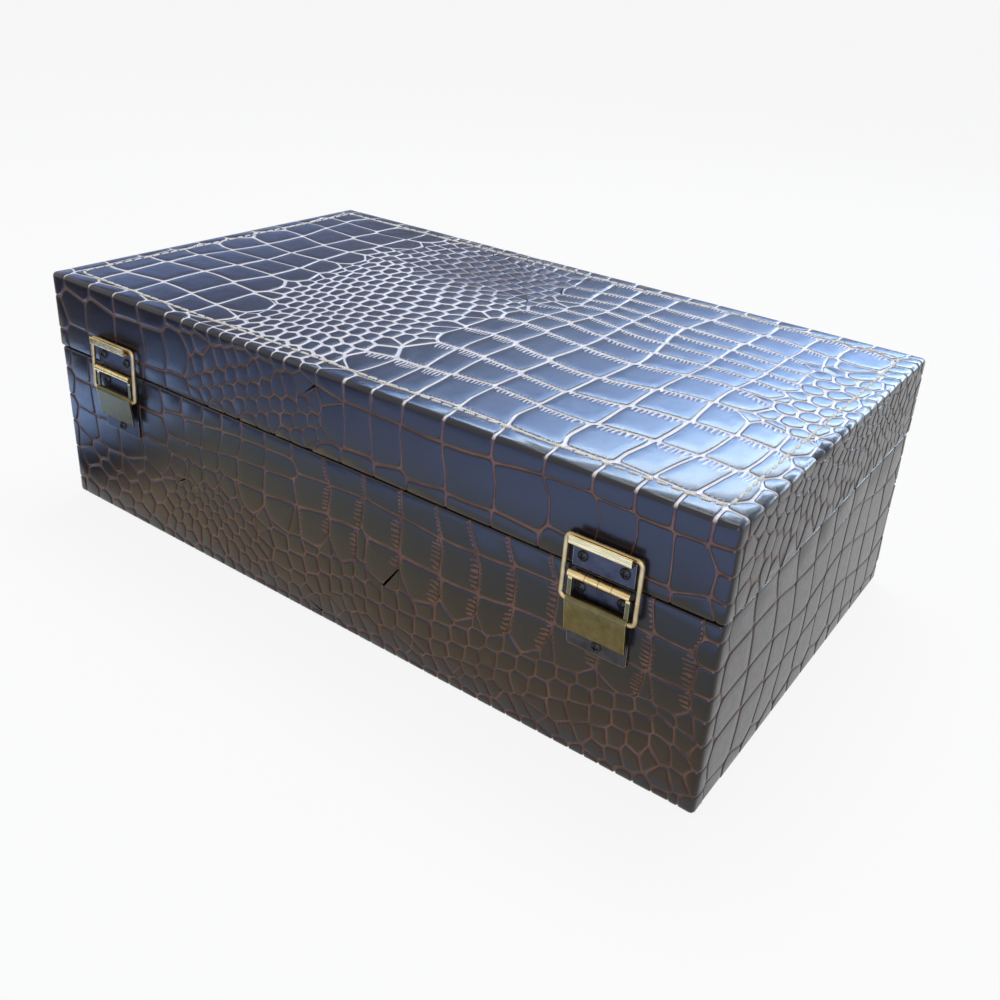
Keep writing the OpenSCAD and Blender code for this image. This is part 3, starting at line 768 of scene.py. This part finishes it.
def broad(x, y):
    return (12.5 + 7.5 * math.exp(-((x - 82) / 60) ** 2)) * (1 + 0.08 * y / 97)


def cluster_right(y):
    return 2 + 18 * math.exp(-((y - 32) / 22) ** 2) + 8 * math.exp(-((y + 43) / 12) ** 2)


def cluster_left(y):
    return -92 - 9 * math.exp(-((y - 42) / 22) ** 2) + 8 * (y < -45)


def at_front(x, z):
    return broad(x, -97)


front_of_line = (Vector((0, 1, 0)), Vector((1, 0, 0)))
right_rows = [88, 71, 55, 43, 29.5, 15, 0, -21, -41, -63, -86]
for near, far in zip(right_rows, right_rows[1:]):
    y = (near + far) / 2
    lay(columns([near, far], 82.5, cluster_right(y) + 4, broad), lid_top, front_of_line, 0.62)
    lay(columns([near, far], 82.5, 137 if -30 < y < 64 else 168, broad), lid_top, front_of_line, 0.62)
lay(lattice((155, 17), 8, 10, 9.5, 5, 8, lambda u, v: 137 < u < 176 and -30 < v < 66), lid_top, None, 0.5)
left_rows = [88, 70, 51, 32, 13, -7, -28, -50, -73, -88]
for near, far in zip(left_rows, left_rows[1:]):
    y = (near + far) / 2
    lay(columns([near, far], -167, cluster_left(y) - 6, 18.5), lid_top, None, 0.6)
lay(lattice((-45, 60), -58, 10, 5.8, 20, 30,
            lambda u, v: cluster_left(v) < u < cluster_right(v) - 2 and 32 < v < 95), lid_top, None, 0.62)
lay(lattice((-45, -30), 0, 7.4, 8.4, 20, 20,
            lambda u, v: cluster_left(v) < u < cluster_right(v) - 2 and -93 < v < 32), lid_top, None, 0.66)
for start, end in ((82.5, 168), (82.5, 4)):
    scales += [(Vector((u, -97, 115.6)) * mm, 8 * mm, None, 0.42) for u, v, r in columns([-97, -97.1], start, end, at_front)]
lay(columns([107, 86], 82.5, 168, at_front), lid_front)
lay(columns([107, 86], 82.5, 4, at_front), lid_front)
lay(columns([86, 72], 82.5, 168, 17), lid_front)
lay(columns([86, 72], 82.5, 4, 17), lid_front)
lay(lattice((-40, 97), 20, 7.6, 7, 20, 8, lambda u, v: -80 < u < 3 and 81 < v < 110), lid_front)
lay(columns([107, 90, 74], -167, -84, 17), lid_front)
lay(columns([107, 90, 74], -167, 168, 18), lid_back)
lay(lattice((-40, 97), -25, 9, 7.2, 20, 8, lambda u, v: -94 < u < 0 and 81 < v < 110), lid_right)
lay(lattice((50, 97), -25, 7, 5.6, 20, 8, lambda u, v: 0 < u < 94 and 81 < v < 110), lid_right)
lay(columns([107, 90, 74], -88, 90, 18), lid_left)
turned((-175, -97, 115.6), (-86, -97, 115.6), 17)
turned((-86, -97, 115.6), (0, -97, 115.6), 7.5)
turned((175, -97, 115.6), (175, -30, 115.6), 12)
turned((175, -30, 115.6), (175, 97, 115.6), 8)
turned((175, 97, 115.6), (5, 97, 115.6), 15)
turned((5, 97, 115.6), (-100, 97, 115.6), 8)
turned((-100, 97, 115.6), (-175, 97, 115.6), 17)
turned((-175, 97, 115.6), (-175, -97, 115.6), 17)
turned((175, -97, 82), (175, -97, 112), 9)
turned((-175, -97, 82), (-175, -97, 107), 13)
turned((175, 97, 82), (175, 97, 111), 9)
turned((-175, 97, 82), (-175, 97, 107), 13)
wrap = emboss("lid_leatherette", lid, scales, outside, 79.6 * mm)
wrap.data.materials.append(covering.data.materials[0])
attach(wrap, "lid")
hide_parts("lid_skin")

# ---- Stitching ----
# One line of cream twisted thread round the lid's top, in stitches of 5 mm that dip into their holes.

thread_r = 0.6 * mm
stitch_path = ((0.0, 0.9, 0.5), (0.06, 0.3, 1), (0.22, 0, 1.1), (0.5, 0, 1.15), (0.78, 0, 1.1), (0.94, 0.3, 1), (1, 0.9, 0.5))


def stitch_line(half, corner, length):
    """A line of stitches round a rectangle with round corners. Each is a bent rod of thread, closed at its ends."""
    run = []
    for sx, sy, turn in ((1, -1, -90), (1, 1, 0), (-1, 1, 90), (-1, -1, 180)):
        centre = Vector((sx * (half.x - corner), sy * (half.y - corner)))
        for step in range(7):
            angle = math.radians(turn + 15 * step)
            run.append(centre + corner * Vector((math.cos(angle), math.sin(angle))))
    run.append(run[0])
    total = sum((b - a).length for a, b in zip(run, run[1:]))
    count = round(total / length)

    def at(distance):
        for a, b in zip(run, run[1:]):
            if distance <= (b - a).length:
                break
            distance -= (b - a).length
        return a.lerp(b, min(1, distance / (b - a).length)), (b - a).normalized()

    thread = bmesh.new()
    for i in range(count):
        rings = []
        for share, drop, fat in stitch_path:
            spot, heading = at((i + 0.04 + share * 0.92) * total / count)
            cap = share in (0, 1)
            ring = bmesh.ops.create_circle(thread, segments=6, radius=thread_r * fat, cap_ends=cap)["verts"]
            spot += Vector((-heading.y, heading.x)) * (share - 0.5) * 0.4 * mm
            turn = heading.to_3d().to_track_quat("Z", "Y").to_matrix().to_4x4()
            turn.translation = (spot.x, spot.y, (115.42 - drop) * mm)
            bmesh.ops.transform(thread, matrix=turn, verts=ring)
            rings.append({e for v in ring for e in v.link_edges})
        for near, far in zip(rings, rings[1:]):
            bmesh.ops.bridge_loops(thread, edges=list(near | far))
    bmesh.ops.recalc_face_normals(thread, faces=thread.faces)
    for f in thread.faces:
        f.smooth = True
    data = bpy.data.meshes.new("stitches")
    thread.to_mesh(data)
    made = bpy.data.objects.new("stitches", data)
    bpy.context.scene.collection.objects.link(made)
    return made


stitches = stitch_line(Vector((166 * mm, 88 * mm)), 5 * mm, 5.2 * mm)
cotton = Finish("cream thread", Roughness=0.7)
x, y = [cotton.node("ShaderNodeSeparateXYZ", {"output": axis}, cotton.place()) for axis in (0, 1)]
twist = (x + y) * (1 / (0.9 * mm))
strand = abs(twist.maths("FRACT", twist) - 0.5) * 2
soil = cotton.carry(cotton.mottle(6 * mm), 0.45, 0.75)
cotton.paint(Base_Color=cotton.blend(soil, cotton.blend(strand, (0.72, 0.69, 0.62), (0.95, 0.93, 0.88)), (0.72, 0.66, 0.56)))
cotton.relief((strand, 0.12 * mm), (cotton.mottle(0.3 * mm), 0.04 * mm))
stitches.data.materials.append(cotton.material)
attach(stitches, "lid")
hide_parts("lid_stitching")

# ---- Lining of the lid ----
# The same suede on the lid's walls and, over wadding, under its top.

for side in ("front", "back", "left", "right"):
    suede_panel(f"lid_{side}_suede", f"lid_{side}_lining", "lid", 0.4 * mm)
suede_panel("lid_top_cushion", "lid_top_pad", "lid", 1.6 * mm)

# ---- Hinges and latches ----
# Antique brass: sheet steel plated with brass, darkened, and worn bright on its edges. Bright bands on the
# rolls are painted highlights, and the flat plates are painted dark and bluish as painted shade and
# reflection. The screws are blackened.


def antique_brass(name, tarnish_and_shade, metal, wear_and_painted_glint, highlight_bands=()):
    """Darkened brass whose corners are worn to a pale gold, with fine upright scratches. Bands of it, each
    between two heights, are painted bright as painted highlights."""
    brass = Finish(name, Metallic=1.0)
    corner = brass.node("ShaderNodeBevel", {"samples": 6}, Radius=0.3 * mm)
    flat = brass.node("ShaderNodeNewGeometry", {"output": "Normal"})
    bent = brass.node("ShaderNodeVectorMath", {"operation": "DOT_PRODUCT", "output": "Value"}, corner, flat)
    scratch = brass.mottle(0.35 * mm, 3, 0.6, (1, 1, 14))
    streak = brass.mottle(0.5 * mm, 3, 0.6, (14, 1, 1))
    cloud = brass.carry(brass.mottle(4 * mm, 4, 0.6), 0.3, 0.7)
    height = brass.node("ShaderNodeSeparateXYZ", {"output": 2}, brass.place())
    worn = brass.carry(1 - bent + 0.2 * (scratch - 0.5) * cloud, 0.02, 0.26)
    # Painted highlight: the bright streaked gold laid on the bands between their heights.
    gold = brass.blend(brass.carry(streak, 0.3, 0.7), (0.46, 0.31, 0.12), (0.95, 0.72, 0.34))
    painted_highlight = worn * 0
    for low, high in highlight_bands:
        band = brass.carry(height, (low - 0.3) * mm, low * mm) * brass.carry(height, high * mm, (high + 0.3) * mm, 1, 0)
        painted_highlight = painted_highlight.maths("MAXIMUM", painted_highlight, band)
    tone = brass.blend(painted_highlight, brass.blend(cloud * 0.6 + scratch * 0.4, tarnish_and_shade, metal), gold)
    brass.paint(
        Base_Color=brass.blend(worn, tone, wear_and_painted_glint),
        Roughness=0.4 - 0.16 * worn + 0.12 * (cloud - 0.5) + 0.1 * (scratch - 0.5) - 0.12 * painted_highlight,
    )
    brass.relief((scratch, 0.03 * mm), (cloud, 0.06 * mm))
    return brass.material


# Painted shade and reflection: the plates get a dark, bluish tone; painted highlight above 75 mm.
finish_nodes(["_plate"], antique_brass("dark plate", (0.028, 0.028, 0.038), (0.085, 0.08, 0.085), (0.5, 0.4, 0.2), [(75, 99)]))
finish_nodes(["_leaf"], antique_brass("dark leaf", (0.05, 0.042, 0.03), (0.16, 0.13, 0.08), (0.5, 0.4, 0.2)))
# Painted shade and reflection: the strike plates get a dark, bluish tone; painted highlight above 90 mm.
finish_nodes(["_strike"], antique_brass(
    "strike plate", (0.03, 0.03, 0.042), (0.09, 0.088, 0.1), (0.6, 0.48, 0.26), [(90, 99)]))
# Painted highlight: the lever's roll, above 75.6 mm, is painted bright.
finish_nodes(["_lever"], antique_brass(
    "brown lever", (0.085, 0.07, 0.03), (0.19, 0.155, 0.07), (0.78, 0.64, 0.36), [(75.6, 99)]))
finish_nodes(["_bail", "_pin"], antique_brass("bright wire", (0.3, 0.22, 0.1), (0.7, 0.52, 0.26), (0.95, 0.8, 0.5)))

black = Finish("blackened steel", Metallic=0.8)
wear = black.mottle(0.5 * mm, 3, 0.6)
black.paint(
    Base_Color=black.blend(wear, (0.008, 0.008, 0.009), (0.05, 0.048, 0.046)),
    Roughness=0.3 + 0.25 * wear,
)
black.relief((wear, 0.03 * mm))
finish_nodes(["_screws"], black.material)

[[list(corner) for corner in box] for box in (cad_box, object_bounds())]
